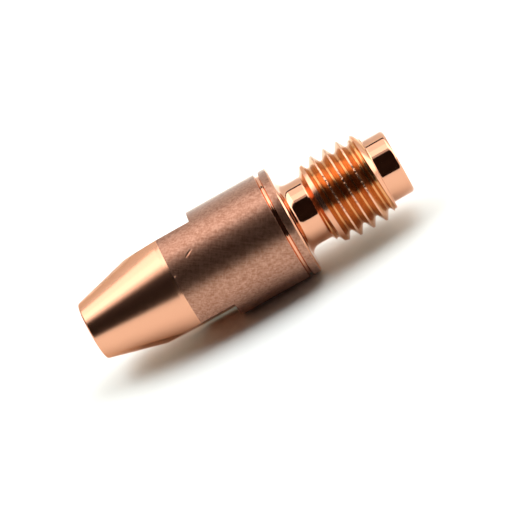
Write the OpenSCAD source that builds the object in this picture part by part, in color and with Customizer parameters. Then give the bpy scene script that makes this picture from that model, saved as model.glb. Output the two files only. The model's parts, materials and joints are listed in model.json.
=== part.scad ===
// Welding contact tip: one turned copper piece that screws into the end of a wire-feed torch.
// It stands on its threaded end, with the wire running up +Z through the bore and out of the nose.

/* [Overall] */
// Length from the threaded end to the nose
overall_l = 30; // [26:0.5:40]
// Diameter of the drawn bar, left as drawn on the body and the collar
body_d = 10; // [9:0.1:12]

/* [Threaded end] */
// Length of the threaded end, from its tip to the seat on the collar
shank_l = 10.2; // [9.5:0.1:13]
// Diameter of the plain pilot that leads the thread into its hole
pilot_d = 5.9; // [5:0.1:6.2]
// Length of the pilot
pilot_l = 2; // [1:0.1:3]
// Chamfer on the end of the pilot
pilot_chamfer = 0.17; // [0.1:0.01:0.6]
// Major diameter of the right-hand thread
thread_d = 8; // [7.8:0.05:8.6]
// Pitch of the thread
thread_pitch = 1.25; // [1:0.05:1.5]
// Angle about +Z at which the thread groove starts
thread_start = 165; // [0:5:355]
// Diameter at which the lead chamfer of the thread starts
lead_d = 6.3; // [6.2:0.05:7.2]
// Diameter of the relief between the thread and the seat
relief_d = 5.9; // [5:0.1:6.2]
// Length of the relief, from the end of the thread to the seat
relief_l = 2.15; // [1.6:0.05:3]
// Radius in the corner between the relief and the seat
relief_fillet = 0.85; // [0.2:0.05:1]

/* [Collar] */
// Thickness of the collar between the seat and the groove
collar_t = 0.8; // [0.6:0.05:2]
// Chamfer round the seat
seat_chamfer = 0.14; // [0.05:0.01:0.3]
// Width of the groove at the surface
groove_w = 0.4; // [0.3:0.02:1]
// Width of the groove at its bottom
groove_floor_w = 0.24; // [0.1:0.02:0.28]
// Depth of the groove
groove_depth = 0.25; // [0.1:0.05:0.5]

/* [Nose] */
// Length of the taper, from the body to the nose
taper_l = 8.75; // [6:0.25:12]
// Diameter that the taper comes down to at the nose
nose_d = 5.3; // [4:0.1:7]
// Radius round the edge of the nose
nose_edge = 0.25; // [0.1:0.05:0.5]
// Length along the axis of the broken edge between the body and the taper
shoulder_l = 0.4; // [0.2:0.05:0.8]
// Depth of that broken edge, measured on the radius
shoulder_depth = 0.17; // [0.1:0.01:0.3]

/* [Spanner flats] */
// Distance across the two flats
across_flats = 8; // [7:0.1:8.8]
// Length of the flats, from the nose back to their step
flats_l = 12; // [10:0.25:14]

/* [Wire bore] */
// Diameter of the bore that the wire runs in
bore_d = 1.4; // [0.8:0.1:2]
// Mouth of the countersink that guides the wire in at the threaded end
inlet_d = 3; // [2.4:0.1:4]
// Full angle of that countersink
inlet_angle = 60; // [45:5:90]
// Chamfer where the bore comes out of the nose
outlet_chamfer = 0.12; // [0.05:0.01:0.3]

/* [Hidden] */
copper = [0.72, 0.45, 0.33];
$fn = 96;
// How far a cut runs past the surface that it opens
past = 0.5;

thread_end = shank_l - relief_l;

// Thread form: a 60 degree V with a flat crest an eighth of the pitch wide
thread_depth = 0.6134 * thread_pitch;
crest_flat = thread_pitch / 8;
flank_slope = tan(30);
// The cutter stands this far proud of the crest, where its own turns are still apart
crest_clear = crest_flat / 2;
// The cutter starts and ends in the air beside the thread
run_out = thread_pitch / 2;
steps_per_turn = 32;
cutter_steps = ceil((thread_end - pilot_l + 2 * run_out) / thread_pitch * steps_per_turn);

// Half the width of the thread groove at radius r
function groove_half_w(r) =
    (thread_pitch - crest_flat) / 2 - (thread_d / 2 - r) * flank_slope;

// One corner of the thread cutter, k steps along the helix, on its lower (-1) or upper (1) flank
function cutter_point(k, r, flank) =
    let (turn = k / steps_per_turn)
    let (angle = thread_start + 360 * turn)
    let (z = pilot_l - run_out + thread_pitch * turn)
    [r * cos(angle), r * sin(angle), z + flank * groove_half_w(r)];

// Helical cutter for the groove of the thread
module thread_cutter() {
    root_r = thread_d / 2 - thread_depth;
    outer_r = thread_d / 2 + crest_clear;
    corners = [[root_r, -1], [outer_r, -1], [outer_r, 1], [root_r, 1]];
    points = [for (k = [0 : cutter_steps]) for (c = corners) cutter_point(k, c[0], c[1])];
    sides = [
        for (k = [0 : cutter_steps - 1])
            for (c = [0 : 3])
                let (a = 4 * k + c)
                let (b = 4 * k + (c + 1) % 4)
                each [[a, b, a + 4], [b, b + 4, a + 4]]
    ];
    last = 4 * cutter_steps;
    start_cap = [[0, 2, 1], [0, 3, 2]];
    end_cap = [[last, last + 1, last + 2], [last, last + 2, last + 3]];
    polyhedron(points = points, faces = concat(sides, start_cap, end_cap));
}

// Half section of the threaded end: pilot, lead chamfer, blank for the thread, and relief
module shank_section() {
    lead_l = (thread_d - lead_d) / 2;
    run_down_l = (thread_d - relief_d) / 2;
    polygon([
        [0, 0],
        [pilot_d / 2 - pilot_chamfer, 0],
        [pilot_d / 2, pilot_chamfer],
        [pilot_d / 2, pilot_l],
        [lead_d / 2, pilot_l],
        [thread_d / 2, pilot_l + lead_l],
        [thread_d / 2, thread_end - run_down_l],
        [relief_d / 2, thread_end],
        [relief_d / 2, shank_l],
        [0, shank_l]
    ]);
}

// Fill of the rounded corner between the relief and the seat
module relief_corner() {
    translate([relief_d / 2, shank_l - relief_fillet])
        difference() {
            square(relief_fillet);
            translate([relief_fillet, 0])
                circle(relief_fillet);
        }
}

// Half section of the collar, the body and the taper, with the edge of the nose rounded
module body_section() {
    body_r = body_d / 2;
    taper_z = overall_l - taper_l;
    shoulder_r = body_r - shoulder_depth;
    taper_angle = atan((shoulder_r - nose_d / 2) / (taper_l - shoulder_l));
    edge_setback = nose_edge / tan((90 + taper_angle) / 2);
    edge_r = nose_d / 2 - edge_setback;
    polygon([
        [0, shank_l],
        [body_r - seat_chamfer, shank_l],
        [body_r, shank_l + seat_chamfer],
        [body_r, taper_z],
        [shoulder_r, taper_z + shoulder_l],
        [nose_d / 2 + edge_setback * sin(taper_angle), overall_l - edge_setback * cos(taper_angle)],
        [edge_r, overall_l],
        [0, overall_l]
    ]);
    translate([edge_r, overall_l - nose_edge])
        circle(nose_edge);
}

// Section of the groove that sets the collar off from the body
module collar_groove() {
    slope_w = (groove_w - groove_floor_w) / 2;
    translate([body_d / 2, shank_l + collar_t])
        polygon([
            [past, 0],
            [0, 0],
            [-groove_depth, slope_w],
            [-groove_depth, slope_w + groove_floor_w],
            [0, groove_w],
            [past, groove_w]
        ]);
}

// The bar as the lathe leaves it, before the thread is cut
module turned_blank() {
    rotate_extrude()
        difference() {
            union() {
                shank_section();
                relief_corner();
                body_section();
            }
            collar_groove();
        }
}

// Bore for the wire, with its countersunk inlet and its broken edge at the nose
module wire_bore() {
    inlet_slope = tan(inlet_angle / 2);
    rotate_extrude()
        polygon([
            [0, -past],
            [inlet_d / 2 + past * inlet_slope, -past],
            [bore_d / 2, (inlet_d - bore_d) / 2 / inlet_slope],
            [bore_d / 2, overall_l - outlet_chamfer],
            [bore_d / 2 + outlet_chamfer + past, overall_l + past],
            [0, overall_l + past]
        ]);
}

// The two milled flats that a spanner holds, each ending in a square step
module spanner_flats() {
    for (side = [0, 180])
        rotate([0, 0, side])
            translate([across_flats / 2, -body_d, overall_l - flats_l])
                cube([body_d, 2 * body_d, flats_l + past]);
}

// The tip, turned, threaded, drilled and milled from one length of copper bar
module contact_tip() {
    color(copper)
        difference() {
            turned_blank();
            thread_cutter();
            wire_bore();
            spanner_flats();
        }
}

contact_tip();
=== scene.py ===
import json
import math

import bpy
from mathutils import Matrix, Vector


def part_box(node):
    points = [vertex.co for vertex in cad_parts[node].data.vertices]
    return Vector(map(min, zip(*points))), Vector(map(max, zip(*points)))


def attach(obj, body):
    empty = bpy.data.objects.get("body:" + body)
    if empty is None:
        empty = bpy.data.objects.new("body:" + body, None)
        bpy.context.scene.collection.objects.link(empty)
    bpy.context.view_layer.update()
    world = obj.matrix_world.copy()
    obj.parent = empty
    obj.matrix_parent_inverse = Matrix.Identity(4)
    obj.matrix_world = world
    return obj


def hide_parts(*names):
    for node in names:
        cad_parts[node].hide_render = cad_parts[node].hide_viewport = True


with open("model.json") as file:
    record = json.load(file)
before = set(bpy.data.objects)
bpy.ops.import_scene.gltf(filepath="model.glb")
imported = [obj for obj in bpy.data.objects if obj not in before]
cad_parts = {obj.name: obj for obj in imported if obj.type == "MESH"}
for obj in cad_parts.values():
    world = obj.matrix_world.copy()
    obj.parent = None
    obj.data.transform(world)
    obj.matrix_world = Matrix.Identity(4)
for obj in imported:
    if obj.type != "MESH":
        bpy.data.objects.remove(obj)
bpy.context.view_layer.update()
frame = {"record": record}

# Contact tip
# One length of chromium copper bar, turned to shape, drilled for the wire, threaded M8 at the
# rear and milled with two flats at the nose. The bar's drawn skin is left on body and collar.
MM = 0.001
mounts = {mount["name"]: mount for mount in frame["record"]["mounts"]}
tip_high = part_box("contact_tip")[1]
tip_l = tip_high.z
body_r = tip_high.x
seat_z = mounts["seat"]["pos_m"][2]
pilot_r = mounts["pilot"]["dims"]["r_mm"] * MM
thread_r = mounts["thread"]["dims"]["r_mm"] * MM
thread_l = mounts["thread"]["dims"]["length_mm"] * MM
bore_r = mounts["wire_bore"]["dims"]["r_mm"] * MM
flat_x = mounts["spanner_flat_a"]["pos_m"][0]

pilot_l = 2.0 * MM
pilot_chamfer = 0.17 * MM
# The slopes at the two ends of the thread: the lead at the pilot, and the run-down at the relief,
# which falls slowly to an end crest and then steeply
lead_r = 3.42 * MM
lead_l = 0.8 * MM
end_crest_r = 3.66 * MM
end_wall_l = 0.4 * MM
end_slope_l = 1.25 * MM
# The relief lets the thread run out before the seat
relief_r = 2.95 * MM
relief_fillet = 0.85 * MM
seat_chamfer = 0.14 * MM
collar_t = 0.8 * MM
groove_w = 0.4 * MM
groove_floor_w = 0.24 * MM
groove_depth = 0.25 * MM
taper_l = 8.75 * MM
nose_r = 2.65 * MM
nose_edge = 0.25 * MM
shoulder_l = 0.4 * MM
shoulder_depth = 0.17 * MM
flats_l = 12.0 * MM
inlet_r = 1.5 * MM
inlet_angle = 60
inlet_slope = math.tan(math.radians(inlet_angle / 2))
outlet_chamfer = 0.12 * MM
# Turned edges are broken by a few hundredths of a millimetre, and the nose of the lathe tool
# leaves larger radii at the pilot, the relief and the groove
broken_edge = 0.04 * MM
keen_edge = 0.015 * MM
pilot_edge = 0.3 * MM
pilot_corner = 0.12 * MM
relief_corner = 0.3 * MM
groove_corner = 0.1 * MM

thread_end = pilot_l + thread_l
groove_z = seat_z + collar_t
groove_slope_w = (groove_w - groove_floor_w) / 2
taper_z = tip_l - taper_l
# Half section of the turned bar: radius, height and edge radius at each corner
half_section = [
    (inlet_r, 0, broken_edge),
    (pilot_r - pilot_chamfer, 0, broken_edge),
    (pilot_r, pilot_chamfer, pilot_edge),
    (pilot_r, pilot_l, pilot_corner),
    (lead_r, pilot_l, broken_edge),
    (thread_r, pilot_l + lead_l, keen_edge),
    (thread_r, thread_end - end_wall_l - end_slope_l, keen_edge),
    (end_crest_r, thread_end - end_wall_l, keen_edge),
    (relief_r, thread_end, relief_corner),
    (relief_r, seat_z, relief_fillet),
    (body_r - seat_chamfer, seat_z, keen_edge),
    (body_r, seat_z + seat_chamfer, keen_edge),
    (body_r, groove_z, broken_edge),
    (body_r - groove_depth, groove_z + groove_slope_w, groove_corner),
    (body_r - groove_depth, groove_z + groove_slope_w + groove_floor_w, groove_corner),
    (body_r, groove_z + groove_w, broken_edge),
    (body_r, taper_z, keen_edge),
    (body_r - shoulder_depth, taper_z + shoulder_l, broken_edge),
    (nose_r, tip_l, nose_edge),
    (bore_r + outlet_chamfer, tip_l, keen_edge),
    (bore_r, tip_l - outlet_chamfer, keen_edge),
    (bore_r, (inlet_r - bore_r) / inlet_slope, broken_edge),
]


def add_node(tree, kind, settings=None, inputs=None):
    """Adds a node, sets its properties, and fills or links its inputs by name or number."""
    node = tree.nodes.new(kind)
    for name, value in (settings or {}).items():
        setattr(node, name, value)
    for key, value in (inputs or {}).items():
        if isinstance(value, bpy.types.NodeSocket):
            tree.links.new(value, node.inputs[key])
        else:
            node.inputs[key].default_value = value
    return node


def linear(hex_colour):
    """An sRGB hex colour as linear red, green, blue and alpha."""
    channels = [int(hex_colour[i:i + 2], 16) / 255 for i in (1, 3, 5)]
    return [c / 12.92 if c <= 0.04045 else ((c + 0.055) / 1.055) ** 2.4 for c in channels] + [1]


# Drawn copper skin: the dull, faintly tarnished surface that the drawing die leaves on the bar,
# speckled where it is pitted and scuffed by handling. The real pits and scuffs are a few
# hundredths of a millimetre wide, and are drawn coarser to show.
pit_size = 0.3 * MM
pit_share = 0.45
scuff_w = 0.14 * MM
scuff_stretch = 9
skin_depth = 0.014 * MM
# Depth of the scratch and the nicks, as a multiple of the skin's own, and how far in from the
# surface they are felt, in millimetres
mark_depth = 2.6
mark_reach = 0.5
drawn_copper = bpy.data.materials.new("drawn_copper_skin")
drawn_copper.use_nodes = True
tree = drawn_copper.node_tree
shader = tree.nodes["Principled BSDF"]
place = add_node(tree, "ShaderNodeTexCoord").outputs["Object"]
pits = add_node(
    tree, "ShaderNodeTexNoise", None,
    {"Vector": place, "Scale": 1 / pit_size, "Detail": 3, "Roughness": 0.7})
skin_height = add_node(
    tree, "ShaderNodeMath", {"operation": "MULTIPLY"},
    {0: pits.outputs["Fac"], 1: pit_share}).outputs[0]
# Scuffs run two ways: degrees from the axis, and share of the skin's height
for lean, share in [(35, 0.33), (-60, 0.22)]:
    along_scuff = add_node(
        tree, "ShaderNodeMapping", {"vector_type": "TEXTURE"},
        {"Vector": place, "Rotation": (0, math.radians(lean), 0),
         "Scale": (1, 1, scuff_stretch)})
    scuff = add_node(
        tree, "ShaderNodeTexNoise", None,
        {"Vector": along_scuff.outputs[0], "Scale": 1 / scuff_w, "Detail": 1})
    skin_height = add_node(
        tree, "ShaderNodeMath", {"operation": "MULTIPLY_ADD"},
        {0: scuff.outputs["Fac"], 1: share, 2: skin_height}).outputs[0]
tarnish = add_node(tree, "ShaderNodeValToRGB", None, {"Fac": skin_height})
tarnish.color_ramp.elements[0].position = 0.38
tarnish.color_ramp.elements[0].color = linear("#97634A")
tarnish.color_ramp.elements[1].position = 0.62
tarnish.color_ramp.elements[1].color = linear("#BC8B73")
tree.links.new(tarnish.outputs["Color"], shader.inputs["Base Color"])
# One long scratch and two nicks, each from one end to the other in millimetres, with its width
for start, stop, width in [
        ((1.36, -4.81, 19.62), (1.81, -4.66, 18.8), 0.26),
        ((0.36, -4.99, 21.24), (0.48, -4.98, 21.05), 0.12),
        ((3.58, -3.49, 16.96), (3.74, -3.32, 16.76), 0.12)]:
    start, stop = Vector(start), Vector(stop)
    middle = (start + stop) / 2
    along = (stop - start).normalized()
    outward = Vector((middle.x, middle.y, 0)).normalized()
    across = outward.cross(along).normalized()
    turn = Matrix((along, across, along.cross(across))).transposed().to_euler()
    mark_place = add_node(
        tree, "ShaderNodeMapping", {"vector_type": "TEXTURE"},
        {"Vector": place, "Location": middle * MM, "Rotation": turn,
         "Scale": Vector(((stop - start).length / 2, width / 2, mark_reach)) * MM})
    mark = add_node(
        tree, "ShaderNodeTexGradient", {"gradient_type": "SPHERICAL"},
        {"Vector": mark_place.outputs[0]})
    skin_height = add_node(
        tree, "ShaderNodeMath", {"operation": "MULTIPLY_ADD"},
        {0: mark.outputs["Fac"], 1: -mark_depth, 2: skin_height}).outputs[0]
skin_bump = add_node(
    tree, "ShaderNodeBump", None,
    {"Strength": 1, "Distance": skin_depth, "Height": skin_height})
tree.links.new(skin_bump.outputs["Normal"], shader.inputs["Normal"])
shader.inputs["Metallic"].default_value = 1
shader.inputs["Roughness"].default_value = 0.34
shader.inputs["Coat Weight"].default_value = 0.5
shader.inputs["Coat Roughness"].default_value = 0.3

# Fine-turned copper: the light cuts on the taper and at the ends of the thread, satin with close-set
# rings from the tool. The real rings are about 0.05 mm wide, and are drawn wider to show.
ring_w = 0.1 * MM
ring_stretch = 20
ring_depth = 0.006 * MM
fine_turned_copper = bpy.data.materials.new("fine_turned_copper")
fine_turned_copper.use_nodes = True
tree = fine_turned_copper.node_tree
shader = tree.nodes["Principled BSDF"]
place = add_node(tree, "ShaderNodeTexCoord").outputs["Object"]
round_axis = add_node(
    tree, "ShaderNodeMapping", None,
    {"Vector": place, "Scale": (1 / ring_stretch, 1 / ring_stretch, 1)})
rings = add_node(
    tree, "ShaderNodeTexNoise", None,
    {"Vector": round_axis.outputs[0], "Scale": 1 / ring_w, "Detail": 2})
ring_bump = add_node(
    tree, "ShaderNodeBump", None,
    {"Strength": 1, "Distance": ring_depth, "Height": rings.outputs["Fac"]})
tree.links.new(ring_bump.outputs["Normal"], shader.inputs["Normal"])
shader.inputs["Base Color"].default_value = linear("#E1A484")
shader.inputs["Metallic"].default_value = 1
shader.inputs["Specular Tint"].default_value = linear("#EED0BE")
shader.inputs["Roughness"].default_value = 0.21

# Bright-turned copper: smooth cuts on the pilot, the relief, the seat and the groove, almost a
# mirror, with faint rings that are drawn as wide as those on the taper
ring_stretch = 5
ring_depth = 0.003 * MM
bright_turned_copper = bpy.data.materials.new("bright_turned_copper")
bright_turned_copper.use_nodes = True
tree = bright_turned_copper.node_tree
shader = tree.nodes["Principled BSDF"]
place = add_node(tree, "ShaderNodeTexCoord").outputs["Object"]
round_axis = add_node(
    tree, "ShaderNodeMapping", None,
    {"Vector": place, "Scale": (1 / ring_stretch, 1 / ring_stretch, 1)})
rings = add_node(
    tree, "ShaderNodeTexNoise", None,
    {"Vector": round_axis.outputs[0], "Scale": 1 / ring_w, "Detail": 2})
ring_bump = add_node(
    tree, "ShaderNodeBump", None,
    {"Strength": 1, "Distance": ring_depth, "Height": rings.outputs["Fac"]})
tree.links.new(ring_bump.outputs["Normal"], shader.inputs["Normal"])
shader.inputs["Base Color"].default_value = linear("#E1A484")
shader.inputs["Metallic"].default_value = 1
shader.inputs["Roughness"].default_value = 0.07

# Cut thread in copper: the threading tool drags a little, so the grooves are duller and lined. The
# lines are drawn a few times wider than the real ones, to show.
drag_w = 0.25 * MM
drag_stretch = 5
drag_depth = 0.045 * MM
cut_thread_copper = bpy.data.materials.new("cut_thread_copper")
cut_thread_copper.use_nodes = True
tree = cut_thread_copper.node_tree
shader = tree.nodes["Principled BSDF"]
place = add_node(tree, "ShaderNodeTexCoord").outputs["Object"]
drag = add_node(
    tree, "ShaderNodeMapping", None,
    {"Vector": place, "Scale": (1 / drag_stretch, 1 / drag_stretch, 1)})
drag_lines = add_node(
    tree, "ShaderNodeTexNoise", None,
    {"Vector": drag.outputs[0], "Scale": 1 / drag_w, "Detail": 2})
drag_bump = add_node(
    tree, "ShaderNodeBump", None,
    {"Strength": 1, "Distance": drag_depth, "Height": drag_lines.outputs["Fac"]})
tree.links.new(drag_bump.outputs["Normal"], shader.inputs["Normal"])
shader.inputs["Base Color"].default_value = linear("#D4935F")
shader.inputs["Metallic"].default_value = 1
shader.inputs["Roughness"].default_value = 0.23

# Burred copper: the crests of the thread, where the tool tears the soft metal into bright grains,
# which are drawn coarser than the real ones to show
burr_size = 0.3 * MM
burr_depth = 0.12 * MM
burred_copper = bpy.data.materials.new("burred_crest_copper")
burred_copper.use_nodes = True
tree = burred_copper.node_tree
shader = tree.nodes["Principled BSDF"]
place = add_node(tree, "ShaderNodeTexCoord").outputs["Object"]
burrs = add_node(
    tree, "ShaderNodeTexNoise", None, {"Vector": place, "Scale": 1 / burr_size, "Detail": 3})
burr_bump = add_node(
    tree, "ShaderNodeBump", None,
    {"Strength": 1, "Distance": burr_depth, "Height": burrs.outputs["Fac"]})
tree.links.new(burr_bump.outputs["Normal"], shader.inputs["Normal"])
shader.inputs["Base Color"].default_value = linear("#E6B090")
shader.inputs["Metallic"].default_value = 1
shader.inputs["Roughness"].default_value = 0.2

# Milled copper: the flats, with the curved marks of the end mill across them, drawn about twice as
# far apart as the real ones to show
sweep_centre = (0, 4 * MM, 6 * MM)
mill_step = 0.22 * MM
mill_depth = 0.004 * MM
# A wave texture of scale 1 has twenty waves in a length of two pi
waves = 20
milled_copper = bpy.data.materials.new("milled_copper")
milled_copper.use_nodes = True
tree = milled_copper.node_tree
shader = tree.nodes["Principled BSDF"]
place = add_node(tree, "ShaderNodeTexCoord").outputs["Object"]
cutter_sweep = add_node(
    tree, "ShaderNodeMapping", {"vector_type": "TEXTURE"},
    {"Vector": place, "Location": sweep_centre, "Rotation": (0, math.radians(90), 0)})
mill_marks = add_node(
    tree, "ShaderNodeTexWave", {"wave_type": "RINGS", "rings_direction": "Z"},
    {"Vector": cutter_sweep.outputs[0], "Scale": 2 * math.pi / (waves * mill_step),
     "Distortion": 1.5, "Detail": 2, "Detail Scale": 1.2})
mill_bump = add_node(
    tree, "ShaderNodeBump", None,
    {"Strength": 1, "Distance": mill_depth, "Height": mill_marks.outputs["Fac"]})
tree.links.new(mill_bump.outputs["Normal"], shader.inputs["Normal"])
shader.inputs["Base Color"].default_value = linear("#D89C7C")
shader.inputs["Metallic"].default_value = 1
shader.inputs["Specular Tint"].default_value = linear("#D8A88A")
shader.inputs["Roughness"].default_value = 0.25

# The thread groove is a 60 degree V, cut by a tool that stands a little proud of the crest and
# starts and ends in the air, half a pitch beside the thread
pitch = 1.25 * MM
thread_depth = 0.6134 * pitch
crest_flat = pitch / 8
proud = pitch / 16
flank_slope = math.tan(math.radians(60 / 2))
tool_corner_r = 0.12 * MM
# Degrees round the axis at which the groove starts
thread_start = 165
helix_h = thread_l + pitch
# The first pass of the tool starts nearer the pilot, which widens the groove there, and closes on
# the groove with each turn as it lifts out
wander = 0.85 * MM
closing = 0.33 * MM
first_turns = 2.6
first_lift = 0.6 * MM
# How far inside a surface a face may lie and still belong to it
close = 0.01 * MM
# How finely the turned and threaded faces are divided: steps round the axis, steps in each turn of
# the helix, steps in the tool's corners, and the fewest steps and their length round an edge
round_steps = 288
helix_steps = 96
tool_corner_steps = 4
edge_fewest = 2
edge_step = 0.04 * MM
# Edges that turn by more degrees than this stay crisp
crisp_angle = 30

turning = bpy.data.node_groups.new("turned_tip", "GeometryNodeTree")
turning.interface.new_socket("Half Section", in_out="INPUT", socket_type="NodeSocketGeometry")
turning_inputs = {
    "Body Radius": body_r,
    "Tool Root Width": pitch - crest_flat - 2 * thread_depth * flank_slope,
    "Tool Mouth Width": pitch - crest_flat + 2 * proud * flank_slope,
    "Tool Height": thread_depth + proud,
    "Tool Corner": tool_corner_r,
    "Helix Radius": thread_r + (proud - thread_depth) / 2,
    "Helix Height": helix_h,
    "Helix Turns": helix_h / pitch,
    "Helix Start": (0.0, 0.0, pilot_l - pitch / 2),
    "Helix Angle": (0.0, 0.0, math.radians(thread_start)),
    "First Pass Turns": first_turns,
    "First Pass Height": first_turns * (pitch + closing),
    "First Pass Radius": thread_r + (proud - thread_depth) / 2 + first_lift,
    "First Pass Start": (0.0, 0.0, pilot_l - pitch / 2 - wander),
    "Mill Size": (body_r, 4 * body_r, 2 * flats_l),
    "Mill Place": (flat_x + body_r / 2, 0.0, tip_l),
    "Crest Limit": thread_r - close,
    "End Crest Limit": lead_r - close,
    "Skin Limit": body_r - close,
    "Flat Limit": flat_x - close,
    "Flats Start": tip_l - flats_l - close,
    "Thread Start": pilot_l - close,
    "Thread End": thread_end,
    "Taper Start": taper_z,
    "Bright Turned": bright_turned_copper,
    "Cut Thread": cut_thread_copper,
    "Milled": milled_copper,
    "Burred": burred_copper,
    "Fine Turned": fine_turned_copper,
    "Drawn": drawn_copper,
}
socket_kinds = {
    float: "NodeSocketFloat", tuple: "NodeSocketVector", bpy.types.Material: "NodeSocketMaterial"}
input_ids = {}
for name, value in turning_inputs.items():
    socket = turning.interface.new_socket(name, in_out="INPUT", socket_type=socket_kinds[type(value)])
    input_ids[name] = socket.identifier
turning.interface.new_socket("Tip", in_out="OUTPUT", socket_type="NodeSocketGeometry")
given = add_node(turning, "NodeGroupInput").outputs

# The half section, its corners rounded, is swept round the axis
edge_radius = add_node(
    turning, "GeometryNodeInputNamedAttribute", {"data_type": "FLOAT"}, {"Name": "edge_radius"})
edge_steps = add_node(
    turning, "ShaderNodeMath", {"operation": "MULTIPLY_ADD"},
    {0: edge_radius.outputs["Attribute"], 1: 1 / edge_step, 2: edge_fewest})
section = add_node(turning, "GeometryNodeMeshToCurve", None, {"Mesh": given["Half Section"]})
section = add_node(
    turning, "GeometryNodeFilletCurve", {"mode": "POLY"},
    {"Curve": section.outputs[0], "Count": edge_steps.outputs[0],
     "Radius": edge_radius.outputs["Attribute"], "Limit Radius": True})
round_path = add_node(
    turning, "GeometryNodeCurvePrimitiveCircle", {"mode": "RADIUS"},
    {"Resolution": round_steps, "Radius": given["Body Radius"]})
blank = add_node(
    turning, "GeometryNodeCurveToMesh", None,
    {"Curve": round_path.outputs[0], "Profile Curve": section.outputs[0]})
blank = add_node(turning, "GeometryNodeFlipFaces", None, {"Mesh": blank.outputs[0]})
blank = add_node(
    turning, "GeometryNodeSetMaterial", None,
    {"Geometry": blank.outputs[0], "Material": given["Bright Turned"]})

# The threading tool is swept along the helix in two passes. Its two inner corners, which are the
# last two of the trapezoid's four, are rounded.
tool_tip = add_node(
    turning, "GeometryNodeCurvePrimitiveQuadrilateral", {"mode": "TRAPEZOID"},
    {"Bottom Width": given["Tool Root Width"], "Top Width": given["Tool Mouth Width"],
     "Height": given["Tool Height"], "Offset": 0})
corner = add_node(turning, "GeometryNodeInputIndex")
is_inner = add_node(
    turning, "ShaderNodeMath", {"operation": "GREATER_THAN"}, {0: corner.outputs[0], 1: 1.5})
tool_corner = add_node(
    turning, "ShaderNodeMath", {"operation": "MULTIPLY"},
    {0: is_inner.outputs[0], 1: given["Tool Corner"]})
tool_tip = add_node(
    turning, "GeometryNodeFilletCurve", {"mode": "POLY"},
    {"Curve": tool_tip.outputs[0], "Count": tool_corner_steps,
     "Radius": tool_corner.outputs[0], "Limit Radius": True})
tool_tip = add_node(
    turning, "GeometryNodeTransform", None,
    {"Geometry": tool_tip.outputs[0], "Rotation": (0, 0, math.radians(-90))})
thread_cuts = []
for turns, height, end_radius, start in [
        ("Helix Turns", "Helix Height", "Helix Radius", "Helix Start"),
        ("First Pass Turns", "First Pass Height", "First Pass Radius", "First Pass Start")]:
    helix = add_node(
        turning, "GeometryNodeCurveSpiral", None,
        {"Resolution": helix_steps, "Rotations": given[turns],
         "Start Radius": given["Helix Radius"],
         "End Radius": given[end_radius], "Height": given[height], "Reverse": True})
    helix = add_node(
        turning, "GeometryNodeSetCurveNormal", {"mode": "Z_UP"}, {"Curve": helix.outputs[0]})
    thread_cut = add_node(
        turning, "GeometryNodeCurveToMesh", None,
        {"Curve": helix.outputs[0], "Profile Curve": tool_tip.outputs[0], "Fill Caps": True})
    thread_cut = add_node(
        turning, "GeometryNodeTransform", None,
        {"Geometry": thread_cut.outputs[0], "Translation": given[start],
         "Rotation": given["Helix Angle"]})
    thread_cuts.append(add_node(
        turning, "GeometryNodeSetMaterial", None,
        {"Geometry": thread_cut.outputs[0], "Material": given["Cut Thread"]}))

# Two passes of a milling cutter leave the flats, each ending in a square step
flat_a = add_node(turning, "GeometryNodeMeshCube", None, {"Size": given["Mill Size"]})
flat_a = add_node(
    turning, "GeometryNodeTransform", None,
    {"Geometry": flat_a.outputs["Mesh"], "Translation": given["Mill Place"]})
flat_b = add_node(
    turning, "GeometryNodeTransform", None,
    {"Geometry": flat_a.outputs[0], "Rotation": (0, 0, math.pi)})
flats = add_node(turning, "GeometryNodeJoinGeometry", None, {"Geometry": flat_a.outputs[0]})
turning.links.new(flat_b.outputs[0], flats.inputs["Geometry"])
flats = add_node(
    turning, "GeometryNodeSetMaterial", None,
    {"Geometry": flats.outputs[0], "Material": given["Bright Turned"]})

# The thread's faces take the finish of their tool
tip_mesh = blank
for tool in (*thread_cuts, flats):
    tip_mesh = add_node(
        turning, "GeometryNodeMeshBoolean", {"operation": "DIFFERENCE", "solver": "MANIFOLD"},
        {"Mesh 1": tip_mesh.outputs[0], "Mesh 2": tool.outputs[0]})
edge_angle = add_node(turning, "GeometryNodeInputMeshEdgeAngle")
crisp = add_node(
    turning, "ShaderNodeMath", {"operation": "GREATER_THAN"},
    {0: edge_angle.outputs["Unsigned Angle"], 1: math.radians(crisp_angle)})
tip_mesh = add_node(
    turning, "GeometryNodeSetShadeSmooth", {"domain": "FACE"},
    {"Geometry": tip_mesh.outputs[0], "Shade Smooth": True})
tip_mesh = add_node(
    turning, "GeometryNodeSetShadeSmooth", {"domain": "EDGE"},
    {"Geometry": tip_mesh.outputs[0], "Selection": crisp.outputs[0], "Shade Smooth": False})
tip_mesh = add_node(turning, "GeometryNodeRealizeInstances", None, {"Geometry": tip_mesh.outputs[0]})

# Of the other faces, the flats are milled, the crests are burred, the taper and the slopes at the
# ends of the thread are cut finer, and the skin is left as drawn
position = add_node(turning, "GeometryNodeInputPosition").outputs[0]
at = add_node(turning, "ShaderNodeSeparateXYZ", None, {"Vector": position}).outputs
from_axis = add_node(
    turning, "ShaderNodeVectorMath", {"operation": "MULTIPLY"}, {0: position, 1: (1, 1, 0)})
radius = add_node(
    turning, "ShaderNodeVectorMath", {"operation": "LENGTH"},
    {0: from_axis.outputs[0]}).outputs["Value"]
aside = add_node(turning, "ShaderNodeMath", {"operation": "ABSOLUTE"}, {0: at["X"]}).outputs[0]
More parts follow.
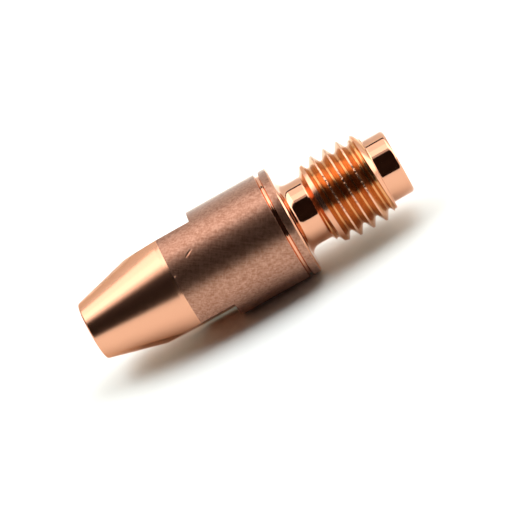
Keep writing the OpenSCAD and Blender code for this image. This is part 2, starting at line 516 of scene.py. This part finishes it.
# Each finish, with what has to be more than what where it lies
finishes = [
    ("Milled", [(aside, given["Flat Limit"]), (at["Z"], given["Flats Start"])]),
    ("Burred", [(radius, given["Crest Limit"]), (given["Thread End"], at["Z"])]),
    ("Fine Turned", [(radius, given["End Crest Limit"]), (given["Thread End"], at["Z"])]),
    ("Cut Thread", [(at["Z"], given["Thread Start"]), (given["Thread End"], at["Z"])]),
    ("Fine Turned", [(at["Z"], given["Taper Start"])]),
    ("Drawn", [(radius, given["Skin Limit"])]),
]
for finish, limits in finishes:
    where = add_node(
        turning, "GeometryNodeMaterialSelection", None, {"Material": given["Bright Turned"]})
    for more, less in limits:
        past = add_node(
            turning, "ShaderNodeMath", {"operation": "GREATER_THAN"}, {0: more, 1: less})
        where = add_node(
            turning, "ShaderNodeMath", {"operation": "MULTIPLY"},
            {0: where.outputs[0], 1: past.outputs[0]})
    tip_mesh = add_node(
        turning, "GeometryNodeSetMaterial", None,
        {"Geometry": tip_mesh.outputs[0], "Selection": where.outputs[0], "Material": given[finish]})
add_node(turning, "NodeGroupOutput", None, {"Tip": tip_mesh.outputs[0]})

corners = len(half_section)
section_mesh = bpy.data.meshes.new("half_section")
section_mesh.from_pydata(
    [(r - body_r, -z, 0) for r, z, edge in half_section],
    [(i, (i + 1) % corners) for i in range(corners)], [])
edge_values = section_mesh.attributes.new("edge_radius", "FLOAT", "POINT")
edge_values.data.foreach_set("value", [edge for r, z, edge in half_section])
tip = bpy.data.objects.new("turned_tip", section_mesh)
bpy.context.scene.collection.objects.link(tip)
on_lathe = tip.modifiers.new("turning", "NODES")
on_lathe.node_group = turning
for name, value in turning_inputs.items():
    on_lathe[input_ids[name]] = value
level_normals = tip.modifiers.new("level_normals", "WEIGHTED_NORMAL")
level_normals.keep_sharp = True
finished = tip.evaluated_get(bpy.context.evaluated_depsgraph_get())
tip_mesh = bpy.data.meshes.new_from_object(finished)
tip_mesh.name = "turned_tip"
tip.modifiers.clear()
tip.data = tip_mesh
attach(tip, "root")
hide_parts("contact_tip")

# Table and backdrop
# One sheet of white card under the tip, which lies on its body, swept up behind it. It is seen
# from its front only, so that the tip can be looked at from below too.
axis = Vector((0, 0, 1))
camera_at = Vector((-11.44, -238.98, 2.71)) * MM
toward = Vector((camera_at.x, camera_at.y, 0)).normalized()
above = axis.cross(toward)


def around(angle, distance, along):
    """A point round the tip: degrees up from the camera's side, metres out, metres along."""
    turn = math.radians(angle)
    return (toward * math.cos(turn) + above * math.sin(turn)) * distance + axis * along


# Degrees from the camera's side up to the table's upright, then the card's profile in metres: where
# it starts and bends, and how far back and how high it ends
table_up = 65.5
card_half_l = 0.8
card_front = -0.5
bend_start = 0.18
bend_r = 0.12
bend_angles = range(10, 80, 10)
card_back = 0.34
card_top_up = 105.5
card_profile = [(card_front, 0), (bend_start, 0)]
for angle in bend_angles:
    turn = math.radians(angle)
    card_profile.append((bend_start + bend_r * math.sin(turn), bend_r * (1 - math.cos(turn))))
card_profile.append((card_back, card_back * math.tan(math.radians(table_up + 90 - card_top_up))))
card_points = []
for run, rise in card_profile:
    for along in (-card_half_l, card_half_l):
        card_points.append(around(table_up + 90, run, along) + around(table_up, rise - body_r, 0))
card_faces = [(2 * i, 2 * i + 2, 2 * i + 3, 2 * i + 1) for i in range(len(card_profile) - 1)]
card_mesh = bpy.data.meshes.new("white_card")
card_mesh.from_pydata(card_points, [], card_faces)
card = bpy.data.objects.new("white_card", card_mesh)
bpy.context.scene.collection.objects.link(card)
card_mesh.shade_smooth()
white_card = bpy.data.materials.new("white_card")
white_card.use_nodes = True
tree = white_card.node_tree
tree.nodes.remove(tree.nodes["Principled BSDF"])
paper = add_node(tree, "ShaderNodeBsdfDiffuse", None, {"Color": linear("#F1F5F3")})
clear = add_node(tree, "ShaderNodeBsdfTransparent")
behind = add_node(tree, "ShaderNodeNewGeometry").outputs["Backfacing"]
seen = add_node(tree, "ShaderNodeLightPath").outputs["Is Camera Ray"]
hidden = add_node(tree, "ShaderNodeMath", {"operation": "MULTIPLY"}, {0: behind, 1: seen})
one_sided = add_node(
    tree, "ShaderNodeMixShader", None,
    {0: hidden.outputs[0], 1: paper.outputs[0], 2: clear.outputs[0]})
tree.links.new(one_sided.outputs[0], tree.nodes["Material Output"].inputs["Surface"])
card_mesh.materials.append(white_card)

# Black cloth
# A dark cloth hung in an arch from the table's front edge, over the camera, to the backdrop. It
# gives the bright copper its black band, and the camera doesn't see it.
cloth_r = 0.9
cloth_ends = (-1.6, 2.0)
cloth_angles = range(-32, 118, 5)
cloth_points = []
for angle in cloth_angles:
    for along in cloth_ends:
        cloth_points.append(around(angle, cloth_r, along))
cloth_faces = [(2 * i, 2 * i + 2, 2 * i + 3, 2 * i + 1) for i in range(len(cloth_angles) - 1)]
cloth_mesh = bpy.data.meshes.new("black_cloth")
cloth_mesh.from_pydata(cloth_points, [], cloth_faces)
cloth = bpy.data.objects.new("black_cloth", cloth_mesh)
bpy.context.scene.collection.objects.link(cloth)
cloth.visible_camera = False
black_cloth = bpy.data.materials.new("black_cloth")
black_cloth.use_nodes = True
shader = black_cloth.node_tree.nodes["Principled BSDF"]
shader.inputs["Base Color"].default_value = linear("#2D231E")
shader.inputs["Roughness"].default_value = 1
shader.inputs["Specular IOR Level"].default_value = 0
cloth_mesh.materials.append(black_cloth)

# Softbox
# A wide diffusing panel above the tip, which the turned copper mirrors as a pale band. More lamps
# brighten its front and its two ends, and its front edge fades out.
softbox_mid = 78
softbox_out = around(softbox_mid, 1, 0)


def hang_lamp(name, place, out, along, width, length, radiance, mirrored):
    """Hangs a rectangular lamp at a place, facing away from out, its length along the given way."""
    lamp = bpy.data.lights.new(name, "AREA")
    lamp.shape = "RECTANGLE"
    lamp.size = width
    lamp.size_y = length
    lamp.energy = radiance * math.pi * width * length
    stand = bpy.data.objects.new(name, lamp)
    bpy.context.scene.collection.objects.link(stand)
    facing = Matrix((along.cross(out), along, out)).transposed().to_4x4()
    stand.matrix_world = Matrix.Translation(place) @ facing
    stand.visible_camera = False
    stand.visible_glossy = mirrored
    return lamp


# Name, distance, lowest and highest angle, ends along the tip, and radiance
softbox_lamps = [
    ("panel", 0.6, 54, 99, -0.75, 0.75, 1.5),
    ("panel_front", 0.62, 54, 74, -0.75, 0.75, 0.5),
    ("panel_nose", 0.64, 41, 106, 0.15, 0.75, 0.9),
    ("panel_thread", 0.66, 50, 99, -1.2, -0.15, 1.4),
    ("panel_edge", 0.58, 46, 54, -0.75, 0.75, 0.7),
]
for name, off, low, high, from_z, to_z, radiance in softbox_lamps:
    from_x = off * math.tan(math.radians(low - softbox_mid))
    to_x = off * math.tan(math.radians(high - softbox_mid))
    place = around(softbox_mid, off, (from_z + to_z) / 2)
    place += around(softbox_mid + 90, (from_x + to_x) / 2, 0)
    hang_lamp(name, place, softbox_out, axis, to_x - from_x, to_z - from_z, radiance, True)
# A panel past the threaded end, which lights what faces that way
hang_lamp(
    "end_panel", around(softbox_mid, 0.45, -1.0), -axis, softbox_out,
    width=0.6, length=0.7, radiance=2.2, mirrored=True)

# Table lamps
# A lamp over the card, and a strip low behind the tip that reaches under its nose and thread.
# The copper doesn't mirror them.
hang_lamp(
    "table_lamp", around(softbox_mid, 0.68, 0.125), softbox_out, axis,
    width=0.72, length=1.25, radiance=0.7, mirrored=False)
strip_up = 149
strip_off = 0.14
back_out = around(strip_up, 1, 0)
back_strip = hang_lamp(
    "back_strip", around(strip_up, strip_off, tip_l / 2), back_out, axis,
    width=0.02, length=0.3, radiance=15, mirrored=False)
back_strip.color = linear("#F4F5DA")[:3]

# Room
# The white room, seen by the camera and in the copper, with little light of its own.
room_glow = 0.1
room = bpy.data.worlds.new("white_room")
bpy.context.scene.world = room
room.use_nodes = True
tree = room.node_tree
rays = add_node(tree, "ShaderNodeLightPath").outputs
shown = add_node(
    tree, "ShaderNodeMath", {"operation": "ADD"}, {0: rays["Is Camera Ray"], 1: rays["Is Glossy Ray"]})
shown = add_node(
    tree, "ShaderNodeMath", {"operation": "ADD", "use_clamp": True},
    {0: shown.outputs[0], 1: rays["Is Transmission Ray"]})
room_light = add_node(
    tree, "ShaderNodeMapRange", None, {"Value": shown.outputs[0], "To Min": room_glow, "To Max": 1})
background = tree.nodes["Background"]
background.inputs["Color"].default_value = (1, 1, 1, 1)
tree.links.new(room_light.outputs[0], background.inputs["Strength"])

# Camera
# A long lens that looks down on the table at about 25 degrees, turned so that the tip lies across
# the frame.
look = Vector((0.0428, 0.9979, 0.0496)).normalized()
upright = Vector((0.8727, -0.0132, -0.4881))
right = look.cross(upright).normalized()
upright = right.cross(look)
lens = bpy.data.cameras.new("camera")
lens.lens = 196.9
lens.sensor_width = 36
lens.clip_start = 0.01
camera = bpy.data.objects.new("camera", lens)
bpy.context.scene.collection.objects.link(camera)
camera.matrix_world = (
    Matrix.Translation(camera_at) @ Matrix((right, upright, -look)).transposed().to_4x4())
bpy.context.scene.camera = camera
bpy.context.scene.view_settings.view_transform = "Standard"
